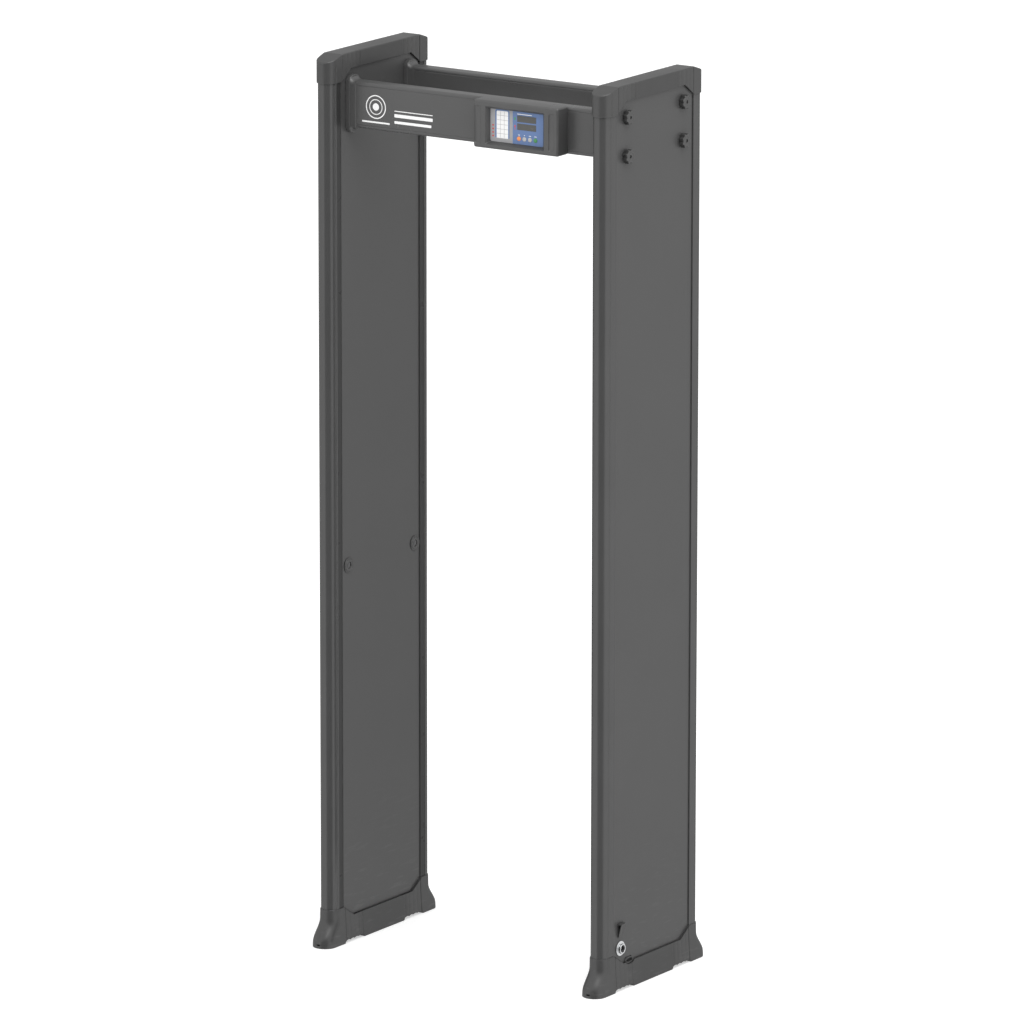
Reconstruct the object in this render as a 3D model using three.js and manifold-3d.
// Walk-through security gate: two coil uprights joined by two crossbars, with a control
// console on the front crossbar. Millimetres, +Z up. The origin is on the floor, midway
// between the uprights. -Y is the front, where the console is, and +X is the side with
// the power inlet.
import * as THREE from 'three';
import { mergeVertices } from 'three/addons/utils/BufferGeometryUtils.js';
import Module from 'manifold-3d';

const wasm = await Module();
wasm.setup();

// ---- Driving dimensions ----

const CLEAR = 0.3; // gap between pieces that rest on or seat in each other
const NOSE_FACETS = 12; // round each half-round nose and all that fits over it

// whole gate
const HEIGHT = 2220;
const PASSAGE_WIDTH = 744; // between the inner faces of the two uprights
const UPRIGHT_THICKNESS = 48;
const UPRIGHT_DEPTH = 428; // over the two round edge profiles

// edge profiles
const PROFILE_WALL = 2.5;
const PROFILE_FACE = 23; // flat between a panel's edge and the start of the round nose
const STRIP_WIDTH = 17; // channel along the passage side of each profile
const STRIP_DEPTH = 3;
const STRIP_INSET = 1.5; // from the panel's edge to the channel

// panels
const PANEL_SHEET = 3;
const PANEL_RECESS = 3; // below the face of the profiles
const PANEL_GAP = 1; // visible gap round a panel
const CHAMFER_WIDTH = 40; // cut corners of the panels
const TOP_CHAMFER = 28;
const BOTTOM_CHAMFER = 26;

// caps
const CAP_BAND = 40; // height of the cap's side above a panel
const CAP_PROUD = 3; // beyond the face of the profiles
const CAP_EDGE = 3; // rounding of the top edge
const PAD_LENGTH = 49; // sloped pad at each end
const PAD_DROP = 16;

// feet
const PANEL_BOTTOM = 66; // floor to a panel's lower edge
const FOOT_PROUD_TOP = 2;
const FOOT_PROUD_BASE = 7;
const FOOT_SOLE = 20; // solid below the upright
const TOE_REACH = 31; // toe beyond the round nose
const TOE_TOP = 66; // height at which the toe leaves the nose
const TOE_FRONT = 16; // height of the toe's upright front
const SOLE_LIFT = 7; // raised stretches between the contact pads
const PAD_HALF = 86; // middle contact pad
const TOE_PAD = 75; // length of each toe's contact pad
const ANCHOR_WIDTH = 10; // slot for a floor anchor in each toe
const ANCHOR_HEIGHT = 4;
const ANCHOR_DEPTH = 18;
const ANCHOR_Z = 7;

// crossbars and their end flanges
const BAR_INSET = 90.5; // outside of the nose to the middle of a crossbar
const BAR_DEPTH = 41;
const BAR_HEIGHT = 110;
const BAR_DROP = 126; // top of the gate to the middle of a crossbar
const BAR_WALL = 3;
const BAR_RADIUS = 5;
const FLANGE_DEPTH = 45;
const FLANGE_HEIGHT = 137;
const FLANGE_RADIUS = 17;
const FLANGE_PLATE = 12;
const FLANGE_LENGTH = 28;
const SPIGOT_LENGTH = 14;
const SPIGOT_HEIGHT = 76;

// clamping knobs
const BOLT_SPACING = 94;
const STUD_DIAMETER = 8;
const STUD_HOLE = 9;
const STUD_END_GAP = 3;
const STUD_CAVITY_SPARE = 2;
const KNOB_DIAMETER = 36;
const KNOB_LOBES = 8;
const KNOB_LOBE_DEPTH = 2.6;
const KNOB_HEIGHT = 12;
const KNOB_EYE = 8;
const KNOB_EYE_DEPTH = 3;
const WASHER_DIAMETER = 22;
const WASHER_THICKNESS = 1.5;

// insides of the uprights
const COIL_BOTTOM = 150;
const COIL_TOP_GAP = 30; // below the crossbar flanges
const COIL_SIDE_GAP = 9; // to the profiles
const WINDING_WIDTH = 9;
const WINDING_THICKNESS = 14;
const FORMER_RAIL = 40;
const SPACER_SIDE_GAP = 4;
const SPACER_MARGIN = 10; // above and below the flanges

// beam sensors on the passage side
const SENSOR_INSET = 71; // from the outside of the nose
const SENSOR_Z = 952;
const SENSOR_DIAMETER = 38;
const SENSOR_FLANGE = 2.4;
const SENSOR_BARREL = 32;
const SENSOR_DEPTH = 9;
const SENSOR_LENS = 18;
const SENSOR_LENS_DEPTH = 1.6;

// power inlet, cable clip and cable outlet on the outer face of the right upright, each
// placed from the outside of the front nose
const INLET_INSET = 78;
const INLET_Z = 104;
const INLET_FLANGE = 37;
const INLET_FLANGE_THICKNESS = 2.5;
const INLET_COLLAR = 25;
const INLET_COLLAR_LENGTH = 6;
const INLET_BARREL = 24;
const INLET_BARREL_LENGTH = 14;
const INLET_BORE = 18;
const INLET_BORE_DEPTH = 15;
const CONTACT_DIAMETER = 12;
const CONTACT_SINK = 5; // below the mouth of the bore
const CLIP_INSET = 79.5;
const CLIP_Z = 150;
const CLIP_HEIGHT = 34;
const CLIP_LENGTH = 27;
const CLIP_TOP = 12;
const CLIP_TIP = 3;
const CLIP_WALL = 1.5;
const OUTLET_INSET = 114;
const OUTLET_Z = 68;
const OUTLET_WIDTH = 28;
const OUTLET_HEIGHT = 9;
const GROMMET_WALL = 3;
const GROMMET_THICKNESS = 5;

// control console
const CONSOLE_WIDTH = 242;
const CONSOLE_HEIGHT = 112;
const CONSOLE_DEPTH = 41.5;
const CONSOLE_RIGHT_GAP = 107; // console to the face of the right upright
const CONSOLE_RADIUS = 5;
const CONSOLE_WALL = 3;
const WINDOW_LEFT_EDGE = 35; // bezel beside the window
const WINDOW_RIGHT_EDGE = 41;
const WINDOW_EDGE = 10.5; // bezel above and below the window
const WINDOW_DEPTH = 12;
const WINDOW_SLOPE = 6;
const SCREEN_SHEET = 2;
const SCREEN_LAP = 3; // hidden behind the window's rim
const BOARD_SHEET = 1.6;
const BOARD_INSET = 11.5; // from the back of the screen sheet to the board
const BOARD_MARGIN = 2;
const BACK_SHEET = 3;
const POST_DIAMETER = 7;
const POST_INSET = 8;
const WIRE_HOLE = 20;
const DISPLAY_WIDTH = 54;
const DISPLAY_HEIGHT = 15.6;
const DISPLAY_SIDE = 29; // from the window's right edge
const DISPLAY_TOP = 15.2; // from the window's upper edge to the upper display
const DISPLAY_PITCH = 19;
const DISPLAY_SINK = 0.4;
const BUTTON_COUNT = 4;
const BUTTON_SIDE = 30.8; // from the window's right edge to the middle of the last button
const BUTTON_PITCH = 15.7;
const BUTTON_RISE = 20; // from the window's lower edge to the middle of a button
const BUTTON_DIAMETER = 11;
const BUTTON_PROUD = 2;
const BUTTON_COLLAR = 13.4;
const BUTTON_COLLAR_THICKNESS = 1;
const BUTTON_STEM = 5;
const BUTTON_TRAVEL = 1.2;

// ---- Values worked out from them ----

const HALF = UPRIGHT_THICKNESS / 2;
const UPRIGHT_X = PASSAGE_WIDTH / 2 + HALF;
const NOSE_Y = UPRIGHT_DEPTH / 2 - HALF;
const PANEL_Y = NOSE_Y - PROFILE_FACE;
const PANEL_TOP = HEIGHT - CAP_BAND;
const PANEL_FACE = HALF - PANEL_RECESS;
const PANEL_BACK = PANEL_FACE - PANEL_SHEET;
const CAP_BOTTOM = PANEL_TOP - TOP_CHAMFER;
const FOOT_TOP = PANEL_BOTTOM + BOTTOM_CHAMFER;
const TOE_END = UPRIGHT_DEPTH / 2 + TOE_REACH;
const PROFILE_TOP = HEIGHT - PAD_DROP - CAP_EDGE - CLEAR;
const PROFILE_BOTTOM = FOOT_SOLE + CLEAR;
const BAR_Z = HEIGHT - BAR_DROP;
const BAR_Y = UPRIGHT_DEPTH / 2 - BAR_INSET;
const SENSOR_Y = UPRIGHT_DEPTH / 2 - SENSOR_INSET;
const INLET_Y = INLET_INSET - UPRIGHT_DEPTH / 2;
const CLIP_Y = CLIP_INSET - UPRIGHT_DEPTH / 2;
const OUTLET_Y = OUTLET_INSET - UPRIGHT_DEPTH / 2;
const BAR_FRONT = -BAR_Y - BAR_DEPTH / 2;
const STUD_END = PANEL_FACE + CLEAR + FLANGE_LENGTH - STUD_END_GAP;
const BAR_HALF = UPRIGHT_X - PANEL_FACE - CLEAR - FLANGE_LENGTH - CLEAR;
const COIL_TOP = BAR_Z - FLANGE_HEIGHT / 2 - COIL_TOP_GAP;
const CONSOLE_X = PASSAGE_WIDTH / 2 - CONSOLE_RIGHT_GAP - CONSOLE_WIDTH / 2;
const CONSOLE_LEFT = CONSOLE_X - CONSOLE_WIDTH / 2;
const CONSOLE_BACK = BAR_FRONT - CLEAR;
const CONSOLE_FRONT = CONSOLE_BACK - CONSOLE_DEPTH;
const WINDOW_WIDTH = CONSOLE_WIDTH - WINDOW_LEFT_EDGE - WINDOW_RIGHT_EDGE;
const WINDOW_HEIGHT = CONSOLE_HEIGHT - 2 * WINDOW_EDGE;
const WINDOW_X = CONSOLE_LEFT + WINDOW_LEFT_EDGE + WINDOW_WIDTH / 2;
const WINDOW_RIGHT = WINDOW_X + WINDOW_WIDTH / 2;
const SCREEN_WIDTH = WINDOW_WIDTH - 2 * WINDOW_SLOPE;
const SCREEN_HEIGHT = WINDOW_HEIGHT - 2 * WINDOW_SLOPE;
const RIM_BACK = CONSOLE_FRONT + WINDOW_DEPTH;
const SCREEN_FRONT = RIM_BACK + CLEAR;
const SCREEN_BACK = SCREEN_FRONT + SCREEN_SHEET;
const BOARD_FRONT = SCREEN_BACK + BOARD_INSET;

// ---- Finishes ----

const finish = (color, roughness, metalness) => () =>
  new THREE.MeshStandardMaterial({ color, roughness, metalness });
const GREY_PAINT = finish(0x646464, 0.55, 0.1);
const GREY_PLASTIC = finish(0x626262, 0.6, 0);
const STEEL = finish(0xb8b8b8, 0.35, 1);
const CHROME = finish(0xdddddd, 0.12, 1);
const BLACK_PLASTIC = finish(0x141414, 0.5, 0);
const BLACK_RUBBER = finish(0x101010, 0.8, 0);
const DARK_LENS = finish(0x202022, 0.2, 0);
const SCREEN_BLUE = finish(0x5f78a5, 0.35, 0);
const DISPLAY_GREY = finish(0x5c5c5a, 0.15, 0);
const BOARD_GREEN = finish(0x1f5a34, 0.5, 0);
const FOAM = finish(0xd8d2c0, 0.9, 0);
const COPPER = finish(0xb26a3c, 0.4, 1);
const BUTTON_FINISHES = [
  finish(0xeb965a, 0.4, 0),
  finish(0xc8c8c8, 0.4, 0),
  finish(0xc8c8c8, 0.4, 0),
  finish(0x5a965f, 0.4, 0),
];

// ---- Solid helpers ----

// A three.js geometry as a solid, with only its positions kept.
function solid(geometry) {
  geometry.deleteAttribute('normal');
  geometry.deleteAttribute('uv');
  const merged = mergeVertices(geometry, 1e-4);
  return new wasm.Manifold(new wasm.Mesh({
    numProp: 3,
    vertProperties: new Float32Array(merged.attributes.position.array),
    triVerts: new Uint32Array(merged.index.array),
  }));
}

function geometryOf(body) {
  const mesh = body.getMesh();
  const geometry = new THREE.BufferGeometry();
  geometry.setAttribute('position', new THREE.BufferAttribute(mesh.vertProperties, 3));
  geometry.setIndex(new THREE.BufferAttribute(mesh.triVerts, 1));
  return geometry;
}

// Turns that lay an outline's extrusion along X, Y or Z. An outline across X is given as
// (y, z), one across Y as (x, z) and one across Z as (x, y).
const LAY = {
  x: new THREE.Matrix4().makeBasis(
    new THREE.Vector3(0, 1, 0), new THREE.Vector3(0, 0, 1), new THREE.Vector3(1, 0, 0)),
  y: new THREE.Matrix4().makeBasis(
    new THREE.Vector3(-1, 0, 0), new THREE.Vector3(0, 0, 1), new THREE.Vector3(0, 1, 0)),
  z: new THREE.Matrix4(),
};

function prism(axis, outline, from, to, curveSegments = 2) {
  const settings = { depth: to - from, bevelEnabled: false, curveSegments };
  const geometry = new THREE.ExtrudeGeometry(outline, settings);
  geometry.translate(0, 0, from);
  geometry.applyMatrix4(LAY[axis]);
  return solid(geometry);
}

function box(low, high) {
  const size = high.map((value, axis) => value - low[axis]);
  const geometry = new THREE.BoxGeometry(...size);
  geometry.translate(...high.map((value, axis) => (value + low[axis]) / 2));
  return solid(geometry);
}

// A cylinder along X or Y; the centre is (y, z) for X and (x, z) for Y.
function rod(axis, centre, diameter, from, to, sides = 20) {
  const geometry = new THREE.CylinderGeometry(diameter / 2, diameter / 2, to - from, sides);
  if (axis === 'x') {
    geometry.rotateZ(-Math.PI / 2);
    geometry.translate((from + to) / 2, centre[0], centre[1]);
  } else {
    geometry.translate(centre[0], (from + to) / 2, centre[1]);
  }
  return solid(geometry);
}

function rectangle(width, height, radius = 0) {
  const a = width / 2;
  const b = height / 2;
  const shape = new THREE.Shape();
  if (radius === 0) {
    shape.moveTo(-a, -b).lineTo(a, -b).lineTo(a, b).lineTo(-a, b);
    return shape;
  }
  shape.absarc(a - radius, -b + radius, radius, -Math.PI / 2, 0);
  shape.absarc(a - radius, b - radius, radius, 0, Math.PI / 2);
  shape.absarc(-a + radius, b - radius, radius, Math.PI / 2, Math.PI);
  shape.absarc(-a + radius, -b + radius, radius, Math.PI, 1.5 * Math.PI);
  return shape;
}

function polygon(points) {
  return new THREE.Shape(points.map(([a, b]) => new THREE.Vector2(a, b)));
}

// A closed skin through rings of equal point counts, each a list of [x, y, z].
function loft(rings) {
  const count = rings[0].length;
  const last = (rings.length - 1) * count;
  const index = [];
  for (let ring = 0; ring < rings.length - 1; ring++) {
    for (let i = 0; i < count; i++) {
      const a = ring * count + i;
      const b = ring * count + (i + 1) % count;
      index.push(a, b, b + count, a, b + count, a + count);
    }
  }
  for (let i = 1; i < count - 1; i++) {
    index.push(0, i + 1, i);
    index.push(last, last + i, last + i + 1);
  }
  const geometry = new THREE.BufferGeometry();
  geometry.setAttribute('position', new THREE.Float32BufferAttribute(rings.flat(2), 3));
  geometry.setIndex(index);
  return solid(geometry);
}

// The plan of an upright: straight sides and a half-round nose at each end.
function planRing(halfWidth, tip, z) {
  const ring = [];
  for (const end of [1, -1]) {
    for (let i = 0; i <= NOSE_FACETS; i++) {
      const angle = Math.PI * i / NOSE_FACETS;
      const reach = tip - halfWidth + halfWidth * Math.sin(angle);
      ring.push([end * halfWidth * Math.cos(angle), end * reach, z]);
    }
  }
  return ring;
}

// The opening in the caps and feet that a panel shows through.
function panelOpening(grow, low, high) {
  const y = PANEL_Y + grow;
  const inner = PANEL_Y - CHAMFER_WIDTH;
  return polygon([
    [-y, Math.max(low, FOOT_TOP)], [-inner, Math.max(low, PANEL_BOTTOM - grow)],
    [inner, Math.max(low, PANEL_BOTTOM - grow)], [y, Math.max(low, FOOT_TOP)],
    [y, Math.min(high, CAP_BOTTOM)], [inner, Math.min(high, PANEL_TOP + grow)],
    [-inner, Math.min(high, PANEL_TOP + grow)], [-y, Math.min(high, CAP_BOTTOM)],
  ]);
}

// ---- Pieces of an upright ----
// Each upright is made about its own middle: +X is its outer face and -X faces the passage.

function profile(end) {
  const faceStart = PANEL_Y + PANEL_GAP;
  const channelIn = faceStart + STRIP_INSET;
  const channelOut = channelIn + STRIP_WIDTH;
  const outline = new THREE.Shape();
  outline.moveTo(HALF, faceStart);
  outline.absarc(0, NOSE_Y, HALF, 0, Math.PI);
  outline.lineTo(-HALF, channelOut);
  outline.lineTo(-HALF + STRIP_DEPTH, channelOut);
  outline.lineTo(-HALF + STRIP_DEPTH, channelIn);
  outline.lineTo(-HALF, channelIn);
  outline.lineTo(-HALF, faceStart);
  const hollow = new THREE.Shape();
  const inside = HALF - PROFILE_WALL;
  const innerSide = -HALF + STRIP_DEPTH + PROFILE_WALL;
  hollow.moveTo(inside, faceStart + PROFILE_WALL);
  hollow.absarc(0, NOSE_Y, inside, 0, Math.PI);
  hollow.lineTo(-inside, channelOut + PROFILE_WALL);
  hollow.lineTo(innerSide, channelOut + PROFILE_WALL);
  hollow.lineTo(innerSide, faceStart + PROFILE_WALL);
  const body = prism('z', outline, PROFILE_BOTTOM, PROFILE_TOP, NOSE_FACETS / 2)
    .subtract(prism('z', hollow, PROFILE_BOTTOM - 1, PROFILE_TOP + 1, NOSE_FACETS / 2));
  return end > 0 ? body : body.mirror([0, 1, 0]);
}

function boltPlaces() {
  const places = [];
  for (const y of [-BAR_Y, BAR_Y]) {
    for (const z of [BAR_Z - BOLT_SPACING / 2, BAR_Z + BOLT_SPACING / 2]) {
      places.push([y, z]);
    }
  }
  return places;
}

function drill(body, places, diameter, from, to) {
  return places.reduce((left, place) => left.subtract(rod('x', place, diameter, from, to, 16)), body);
}

function panelSheet(from, to) {
  const sheet = prism('x', panelOpening(0, -Infinity, Infinity), from, to);
  return drill(sheet, boltPlaces(), STUD_HOLE, from - 1, to + 1);
}

function innerPanel() {
  const sheet = panelSheet(-PANEL_FACE, -PANEL_BACK);
  const places = [[-SENSOR_Y, SENSOR_Z], [SENSOR_Y, SENSOR_Z]];
  return drill(sheet, places, SENSOR_BARREL + 2 * CLEAR, -HALF, -PANEL_BACK + 1);
}

function outletShape(grow) {
  const height = OUTLET_HEIGHT + 2 * grow;
  const shape = rectangle(OUTLET_WIDTH + 2 * grow, height, height / 2 - 0.01);
  return polygon(shape.getPoints(3).map((point) => [point.x + OUTLET_Y, point.y + OUTLET_Z]));
}

function outerPanel(hasInlet) {
  const sheet = panelSheet(PANEL_BACK, PANEL_FACE);
  if (!hasInlet) {
    return sheet;
  }
  const inlet = rod('x', [INLET_Y, INLET_Z], INLET_BARREL + 2 * CLEAR, PANEL_BACK - 1, HALF);
  const outlet = prism('x', outletShape(GROMMET_WALL + CLEAR), PANEL_BACK - 1, HALF);
  return sheet.subtract(inlet).subtract(outlet);
}

function coilWinding() {
  const y = PANEL_Y - COIL_SIDE_GAP;
  const outline = polygon([[-y, COIL_BOTTOM], [y, COIL_BOTTOM], [y, COIL_TOP], [-y, COIL_TOP]]);
  const inner = y - WINDING_WIDTH;
  const low = COIL_BOTTOM + WINDING_WIDTH;
  const high = COIL_TOP - WINDING_WIDTH;
  outline.holes.push(polygon([[-inner, low], [-inner, high], [inner, high], [inner, low]]));
  return prism('x', outline, -WINDING_THICKNESS / 2, WINDING_THICKNESS / 2);
}

function coilFormer() {
  const y = PANEL_Y - COIL_SIDE_GAP - WINDING_WIDTH - CLEAR;
  const low = COIL_BOTTOM + WINDING_WIDTH + CLEAR;
  const high = COIL_TOP - WINDING_WIDTH - CLEAR;
  const outline = polygon([[-y, low], [y, low], [y, high], [-y, high]]);
  const inner = y - FORMER_RAIL;
  outline.holes.push(polygon([
    [-inner, low + FORMER_RAIL], [-inner, high - FORMER_RAIL],
    [inner, high - FORMER_RAIL], [inner, low + FORMER_RAIL],
  ]));
  const reach = PANEL_BACK - CLEAR;
  const barrelEnd = SENSOR_DEPTH - PANEL_FACE;
  const places = [[-SENSOR_Y, SENSOR_Z], [SENSOR_Y, SENSOR_Z]];
  const body = prism('x', outline, -reach, reach);
  return drill(body, places, SENSOR_BARREL + 2 * CLEAR, -reach - 1, barrelEnd);
}

// Fills the space between the two panels so that the knobs can clamp through it.
function topSpacer() {
  const y = PANEL_Y - SPACER_SIDE_GAP - CHAMFER_WIDTH / 2;
  const reach = PANEL_BACK - CLEAR;
  const low = BAR_Z - FLANGE_HEIGHT / 2 - SPACER_MARGIN;
  const high = Math.min(BAR_Z + BOLT_SPACING / 2 + SPACER_MARGIN, PANEL_TOP - TOP_CHAMFER);
  const block = box([-reach, -y, low], [reach, y, high]);
  return drill(block, boltPlaces(), STUD_HOLE, -reach - 1, reach + 1);
}

function cap() {
  const half = HALF + CAP_PROUD;
  const tip = UPRIGHT_DEPTH / 2 + CAP_PROUD;
  let body = loft([
    planRing(half, tip, CAP_BOTTOM),
    planRing(half, tip, HEIGHT - CAP_EDGE),
    planRing(half - CAP_EDGE, tip - CAP_EDGE, HEIGHT),
  ]);
  const cavity = loft([
    planRing(HALF + CLEAR, UPRIGHT_DEPTH / 2 + CLEAR, CAP_BOTTOM - 1),
    planRing(HALF + CLEAR, UPRIGHT_DEPTH / 2 + CLEAR, PROFILE_TOP + CLEAR),
  ]);
  body = body.subtract(cavity);
  body = body.subtract(prism('x', panelOpening(PANEL_GAP, CAP_BOTTOM - 2, Infinity), -HEIGHT, HEIGHT));
  for (const end of [-1, 1]) {
    const low = HEIGHT - PAD_DROP * (PAD_LENGTH + 1) / PAD_LENGTH;
    const slope = polygon([
      [end * (tip - PAD_LENGTH), HEIGHT], [end * (tip + 1), low],
      [end * (tip + 1), HEIGHT + 1], [end * (tip - PAD_LENGTH), HEIGHT + 1],
    ]);
    body = body.subtract(prism('x', slope, -half - 1, half + 1));
  }
  return body;
}

// The toe swings out from the nose in an S between TOE_TOP and TOE_FRONT.
function footRings() {
  const noseTip = UPRIGHT_DEPTH / 2 + FOOT_PROUD_TOP;
  const flare = TOE_END - noseTip;
  const levels = [0, TOE_FRONT];
  const steps = 6;
  for (let i = 1; i <= steps; i++) {
    levels.push(TOE_FRONT + (TOE_TOP - TOE_FRONT) * i / steps);
  }
  levels.push(FOOT_TOP);
  return levels.map((z) => {
    const rise = Math.min(Math.max((z - TOE_FRONT) / (TOE_TOP - TOE_FRONT), 0), 1);
    const out = (1 + Math.cos(Math.PI * rise)) / 2;
    const proud = FOOT_PROUD_BASE + (FOOT_PROUD_TOP - FOOT_PROUD_BASE) * z / FOOT_TOP;
    return planRing(HALF + proud, noseTip + flare * out, z);
  });
}

const inOrder = (a, b) => [Math.min(a, b), Math.max(a, b)];

function foot(hasOutlet) {
  let body = loft(footRings());
  const reach = HALF + FOOT_PROUD_BASE + 1;
  const pocket = loft([
    planRing(HALF + CLEAR, UPRIGHT_DEPTH / 2 + CLEAR, FOOT_SOLE),
    planRing(HALF + CLEAR, UPRIGHT_DEPTH / 2 + CLEAR, FOOT_TOP + 1),
  ]);
  body = body.subtract(pocket);
  body = body.subtract(prism('x', panelOpening(PANEL_GAP, -Infinity, FOOT_TOP + 2), -reach, reach));
  for (const end of [-1, 1]) {
    const [liftFrom, liftTo] = inOrder(end * PAD_HALF, end * (TOE_END - TOE_PAD));
    body = body.subtract(box([-reach, liftFrom, -1], [reach, liftTo, SOLE_LIFT]));
    const [slotFrom, slotTo] = inOrder(end * (TOE_END - ANCHOR_DEPTH), end * (TOE_END + 1));
    body = body.subtract(box(
      [-ANCHOR_WIDTH / 2, slotFrom, ANCHOR_Z],
      [ANCHOR_WIDTH / 2, slotTo, ANCHOR_Z + ANCHOR_HEIGHT]));
  }
  if (hasOutlet) {
    body = body.subtract(prism('x', outletShape(GROMMET_WALL + CLEAR), PANEL_BACK - 1, reach));
  }
  return body;
}

function beamSensor() {
  const face = PANEL_FACE + CLEAR;
  const flange = rod('x', [0, 0], SENSOR_DIAMETER, face, face + SENSOR_FLANGE);
  const barrel = rod('x', [0, 0], SENSOR_BARREL, face - SENSOR_DEPTH, face + 1);
  const top = face + SENSOR_FLANGE;
  const lens = rod('x', [0, 0], SENSOR_LENS, top - SENSOR_LENS_DEPTH, top + 1);
  return flange.add(barrel).subtract(lens);
}

function knob() {
  const base = PANEL_FACE + CLEAR + WASHER_THICKNESS + CLEAR;
  const middle = (KNOB_DIAMETER - KNOB_LOBE_DEPTH) / 2;
  const points = [];
  const count = KNOB_LOBES * 6;
  for (let i = 0; i < count; i++) {
    const angle = 2 * Math.PI * i / count;
    const radius = middle + KNOB_LOBE_DEPTH / 2 * Math.cos(KNOB_LOBES * angle);
    points.push([radius * Math.cos(angle), radius * Math.sin(angle)]);
  }
  const head = prism('x', polygon(points), base, base + KNOB_HEIGHT);
  const eye = rod('x', [0, 0], KNOB_EYE, base + KNOB_HEIGHT - KNOB_EYE_DEPTH, base + KNOB_HEIGHT + 1, 12);
  const stud = rod('x', [0, 0], STUD_DIAMETER, -STUD_END, base + 1, 12);
  return head.subtract(eye).add(stud);
}

function washer() {
  const face = PANEL_FACE + CLEAR;
  const disc = rod('x', [0, 0], WASHER_DIAMETER, face, face + WASHER_THICKNESS);
  return disc.subtract(rod('x', [0, 0], STUD_HOLE, face - 1, face + WASHER_THICKNESS + 1, 16));
}

// ---- Power inlet, cable clip and cable outlet ----

function inletShell() {
  const face = PANEL_FACE + CLEAR;
  const front = face + INLET_FLANGE_THICKNESS + INLET_COLLAR_LENGTH;
  const flange = rod('x', [0, 0], INLET_FLANGE, face, face + INLET_FLANGE_THICKNESS, 32);
  const collar = rod('x', [0, 0], INLET_COLLAR, face + 1, front, 24);
  const barrel = rod('x', [0, 0], INLET_BARREL, face - INLET_BARREL_LENGTH, face + 1, 24);
  const bore = rod('x', [0, 0], INLET_BORE, front - INLET_BORE_DEPTH, front + 1, 24);
  return flange.add(collar).add(barrel).subtract(bore);
}

function inletContacts() {
  const front = PANEL_FACE + CLEAR + INLET_FLANGE_THICKNESS + INLET_COLLAR_LENGTH;
  const floor = front - INLET_BORE_DEPTH + CLEAR;
  return rod('x', [0, 0], CONTACT_DIAMETER, floor, front - CONTACT_SINK, 20);
}

// A tapered scoop, open to the front, that holds the supply cable against the panel.
function cableClip() {
  const face = PANEL_FACE + CLEAR;
  const scoop = (inset) => polygon([
    [-face, -CLIP_HEIGHT / 2 + inset], [-face - CLIP_TIP + inset / 2, -CLIP_HEIGHT / 2 + inset],
    [-face - CLIP_TOP + inset, CLIP_HEIGHT / 2 - inset], [-face, CLIP_HEIGHT / 2 - inset],
  ]);
  const shell = prism('y', scoop(0), 0, CLIP_LENGTH);
  const hollow = prism('y', scoop(CLIP_WALL), -1, CLIP_LENGTH - CLIP_WALL);
  const back = box([face - 1, -2, -CLIP_HEIGHT], [face + CLIP_WALL, CLIP_LENGTH + 1, CLIP_HEIGHT]);
  return shell.subtract(hollow.subtract(back));
}

function grommet() {
  const middle = PANEL_FACE + GROMMET_WALL / 2;
  const reach = GROMMET_THICKNESS / 2;
  const ring = prism('x', outletShape(GROMMET_WALL), middle - reach, middle + reach);
  return ring.subtract(prism('x', outletShape(0), 0, UPRIGHT_THICKNESS));
}

// ---- Crossbars ----

function crossbar(hasWireHole) {
  const outline = rectangle(BAR_DEPTH, BAR_HEIGHT, BAR_RADIUS);
  const hollow = [BAR_DEPTH - 2 * BAR_WALL, BAR_HEIGHT - 2 * BAR_WALL, BAR_RADIUS - BAR_WALL];
  outline.holes.push(rectangle(...hollow));
  const tube = prism('x', outline, -BAR_HALF, BAR_HALF);
  if (!hasWireHole) {
    return tube;
  }
  return tube.subtract(rod('y', [CONSOLE_X, 0], WIRE_HOLE, -BAR_DEPTH, 0));
}

// The flange starts at x = 0 on the panel and tapers to the crossbar's section.
function barFlange() {
  const ring = (width, height, radius, x) =>
    rectangle(width, height, radius).getPoints(3).map((point) => [x, point.x, point.y]);
  const body = loft([
    ring(FLANGE_DEPTH, FLANGE_HEIGHT, FLANGE_RADIUS, 0),
    ring(FLANGE_DEPTH, FLANGE_HEIGHT, FLANGE_RADIUS, FLANGE_PLATE),
    ring(BAR_DEPTH, BAR_HEIGHT, BAR_RADIUS, FLANGE_LENGTH),
  ]);
  const width = BAR_DEPTH - 2 * BAR_WALL - 2 * CLEAR;
  const spigotEnd = FLANGE_LENGTH + SPIGOT_LENGTH;
  const spigot = prism('x', rectangle(width, SPIGOT_HEIGHT), FLANGE_LENGTH - 1, spigotEnd);
  const places = [[0, -BOLT_SPACING / 2], [0, BOLT_SPACING / 2]];
  const depth = STUD_END - PANEL_FACE + STUD_CAVITY_SPARE;
  return drill(body.add(spigot), places, STUD_DIAMETER + 2 * CLEAR, -1, depth);
}

// ---- Console ----
// Console pieces are made in place across Y, centred on the console's middle height.

function frustum(centreX, sizes) {
  return loft(sizes.map(([width, height, y]) =>
    rectangle(width, height).getPoints().map((point) => [centreX + point.x, y, point.y])).reverse());
}

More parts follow.
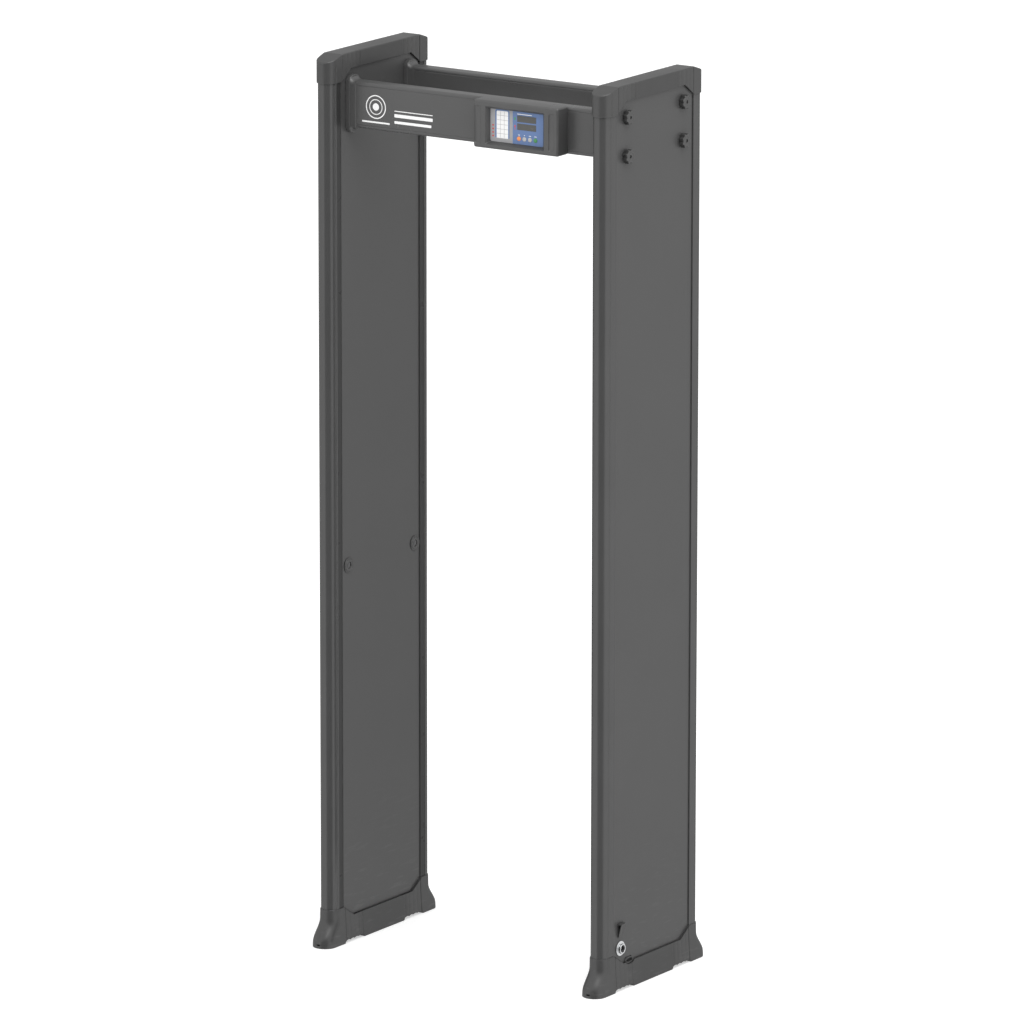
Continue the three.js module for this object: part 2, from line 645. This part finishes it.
function consoleHousing() {
  const inner = CONSOLE_WIDTH - 2 * CONSOLE_WALL;
  const innerHeight = CONSOLE_HEIGHT - 2 * CONSOLE_WALL;
  const outline = rectangle(CONSOLE_WIDTH, CONSOLE_HEIGHT, CONSOLE_RADIUS);
  const shell = prism('y', outline, CONSOLE_FRONT, CONSOLE_BACK).translate([CONSOLE_X, 0, 0]);
  const cavity = prism('y', rectangle(inner, innerHeight, CONSOLE_RADIUS - CONSOLE_WALL),
    CONSOLE_FRONT + CONSOLE_WALL, CONSOLE_BACK + 1).translate([CONSOLE_X, 0, 0]);
  const growth = 2 * CONSOLE_WALL;
  const rim = frustum(WINDOW_X, [
    [WINDOW_WIDTH + growth, WINDOW_HEIGHT + growth, CONSOLE_FRONT],
    [SCREEN_WIDTH + growth, SCREEN_HEIGHT + growth, RIM_BACK],
  ]);
  const slope = WINDOW_SLOPE / WINDOW_DEPTH;
  const window = frustum(WINDOW_X, [
    [WINDOW_WIDTH + 2 * slope, WINDOW_HEIGHT + 2 * slope, CONSOLE_FRONT - 1],
    [SCREEN_WIDTH - 2 * slope, SCREEN_HEIGHT - 2 * slope, RIM_BACK + 1],
  ]);
  return shell.subtract(cavity.subtract(rim)).subtract(window);
}

function postPlaces() {
  const x = SCREEN_WIDTH / 2 - POST_INSET;
  const z = SCREEN_HEIGHT / 2 - POST_INSET;
  return [[-x, -z], [x, -z], [x, z], [-x, z]].map(([dx, dz]) => [WINDOW_X + dx, dz]);
}

function consoleBack() {
  const width = CONSOLE_WIDTH - 2 * CONSOLE_WALL - 2 * CLEAR;
  const height = CONSOLE_HEIGHT - 2 * CONSOLE_WALL - 2 * CLEAR;
  const front = CONSOLE_BACK - BACK_SHEET;
  let plate = prism('y', rectangle(width, height, CONSOLE_RADIUS - CONSOLE_WALL), front, CONSOLE_BACK)
    .translate([CONSOLE_X, 0, 0]);
  for (const place of postPlaces()) {
    plate = plate.add(rod('y', place, POST_DIAMETER, BOARD_FRONT + BOARD_SHEET + CLEAR, front + 1, 12));
  }
  return plate.subtract(rod('y', [CONSOLE_X, 0], WIRE_HOLE, front - 1, CONSOLE_BACK + 1));
}

function buttonPlace(i) {
  const last = WINDOW_RIGHT - BUTTON_SIDE;
  return [last - (BUTTON_COUNT - 1 - i) * BUTTON_PITCH, BUTTON_RISE - WINDOW_HEIGHT / 2];
}

function displayPlace(i) {
  const top = WINDOW_HEIGHT / 2 - DISPLAY_TOP - i * DISPLAY_PITCH;
  return [WINDOW_RIGHT - DISPLAY_SIDE - DISPLAY_WIDTH / 2, top - DISPLAY_HEIGHT / 2];
}

function screenSheet() {
  const outline = rectangle(SCREEN_WIDTH + 2 * SCREEN_LAP, SCREEN_HEIGHT + 2 * SCREEN_LAP);
  let sheet = prism('y', outline, SCREEN_FRONT, SCREEN_BACK).translate([WINDOW_X, 0, 0]);
  for (let i = 0; i < BUTTON_COUNT; i++) {
    const hole = BUTTON_DIAMETER + 2 * CLEAR;
    sheet = sheet.subtract(rod('y', buttonPlace(i), hole, SCREEN_FRONT - 1, SCREEN_BACK + 1));
  }
  for (let i = 0; i < 2; i++) {
    const [x, z] = displayPlace(i);
    const w = DISPLAY_WIDTH / 2 + CLEAR;
    const h = DISPLAY_HEIGHT / 2 + CLEAR;
    sheet = sheet.subtract(box([x - w, SCREEN_FRONT - 1, z - h], [x + w, SCREEN_BACK + 1, z + h]));
  }
  return sheet;
}

function display(i) {
  const [x, z] = displayPlace(i);
  const w = DISPLAY_WIDTH / 2;
  const h = DISPLAY_HEIGHT / 2;
  return box([x - w, SCREEN_FRONT + DISPLAY_SINK, z - h], [x + w, BOARD_FRONT - CLEAR, z + h]);
}

function controlBoard() {
  const width = SCREEN_WIDTH / 2 - BOARD_MARGIN;
  const height = SCREEN_HEIGHT / 2 - BOARD_MARGIN;
  return box(
    [WINDOW_X - width, BOARD_FRONT, -height], [WINDOW_X + width, BOARD_FRONT + BOARD_SHEET, height]);
}

function button(i) {
  const place = buttonPlace(i);
  const collar = SCREEN_BACK + CLEAR;
  const tip = BOARD_FRONT - CLEAR - BUTTON_TRAVEL;
  const collarBack = collar + BUTTON_COLLAR_THICKNESS;
  const head = rod('y', place, BUTTON_DIAMETER, SCREEN_FRONT - BUTTON_PROUD, collarBack);
  const ring = rod('y', place, BUTTON_COLLAR, collar, collarBack);
  const stem = rod('y', place, BUTTON_STEM, collar, tip, 12);
  return head.add(ring).add(stem);
}

// ---- Assembly ----

const gate = new THREE.Group();

function place(parent, name, body, material, position = [0, 0, 0], turn = 0) {
  const mesh = new THREE.Mesh(geometryOf(body), material());
  mesh.name = name;
  mesh.position.set(...position);
  mesh.rotation.z = turn;
  parent.add(mesh);
}

// The left upright is the right one turned half round, so its own -Y end is the rear one.
function buildUpright(side) {
  const isRight = side > 0;
  const name = isRight ? 'right' : 'left';
  const endName = (y) => (side * y < 0 ? 'front' : 'rear');
  const upright = new THREE.Group();
  upright.position.x = side * UPRIGHT_X;
  upright.rotation.z = isRight ? 0 : Math.PI;
  gate.add(upright);
  for (const end of [-1, 1]) {
    place(upright, `${name}_${endName(end)}_profile`, profile(end), GREY_PAINT);
  }
  place(upright, `${name}_inner_panel`, innerPanel(), GREY_PAINT);
  place(upright, `${name}_outer_panel`, outerPanel(isRight), GREY_PAINT);
  place(upright, `${name}_coil_former`, coilFormer(), FOAM);
  place(upright, `${name}_coil_winding`, coilWinding(), COPPER);
  place(upright, `${name}_top_spacer`, topSpacer(), FOAM);
  place(upright, `${name}_top_cap`, cap(), GREY_PLASTIC);
  place(upright, `${name}_foot`, foot(isRight), GREY_PLASTIC);
  for (const y of [-SENSOR_Y, SENSOR_Y]) {
    place(upright, `${name}_${endName(y)}_beam_sensor`, beamSensor(), DARK_LENS, [0, y, SENSOR_Z], Math.PI);
  }
  for (const [y, z] of boltPlaces()) {
    const spot = `${name}_${endName(y)}_${z > BAR_Z ? 'upper' : 'lower'}`;
    place(upright, `${spot}_knob`, knob(), GREY_PLASTIC, [0, y, z]);
    place(upright, `${spot}_washer`, washer(), STEEL, [0, y, z]);
  }
  if (isRight) {
    place(upright, 'power_inlet_shell', inletShell(), CHROME, [0, INLET_Y, INLET_Z]);
    place(upright, 'power_inlet_contacts', inletContacts(), BLACK_PLASTIC, [0, INLET_Y, INLET_Z]);
    place(upright, 'cable_clip', cableClip(), GREY_PLASTIC, [0, CLIP_Y - CLIP_LENGTH / 2, CLIP_Z]);
    place(upright, 'cable_grommet', grommet(), BLACK_RUBBER);
  }
}

function buildCrossbars() {
  for (const [name, y] of [['front', -BAR_Y], ['rear', BAR_Y]]) {
    place(gate, `${name}_crossbar`, crossbar(y < 0), GREY_PAINT, [0, y, BAR_Z]);
    const seat = UPRIGHT_X - PANEL_FACE - CLEAR;
    place(gate, `${name}_left_flange`, barFlange(), GREY_PLASTIC, [-seat, y, BAR_Z]);
    place(gate, `${name}_right_flange`, barFlange(), GREY_PLASTIC, [seat, y, BAR_Z], Math.PI);
  }
}

function buildConsole() {
  const unit = new THREE.Group();
  unit.position.z = BAR_Z;
  gate.add(unit);
  place(unit, 'console_housing', consoleHousing(), GREY_PLASTIC);
  place(unit, 'console_back_plate', consoleBack(), GREY_PLASTIC);
  place(unit, 'control_screen_sheet', screenSheet(), SCREEN_BLUE);
  place(unit, 'control_board', controlBoard(), BOARD_GREEN);
  place(unit, 'upper_display', display(0), DISPLAY_GREY);
  place(unit, 'lower_display', display(1), DISPLAY_GREY);
  for (let i = 0; i < BUTTON_COUNT; i++) {
    place(unit, `push_button_${i + 1}`, button(i), BUTTON_FINISHES[i]);
  }
}

buildUpright(1);
buildUpright(-1);
buildCrossbars();
buildConsole();

export default gate;
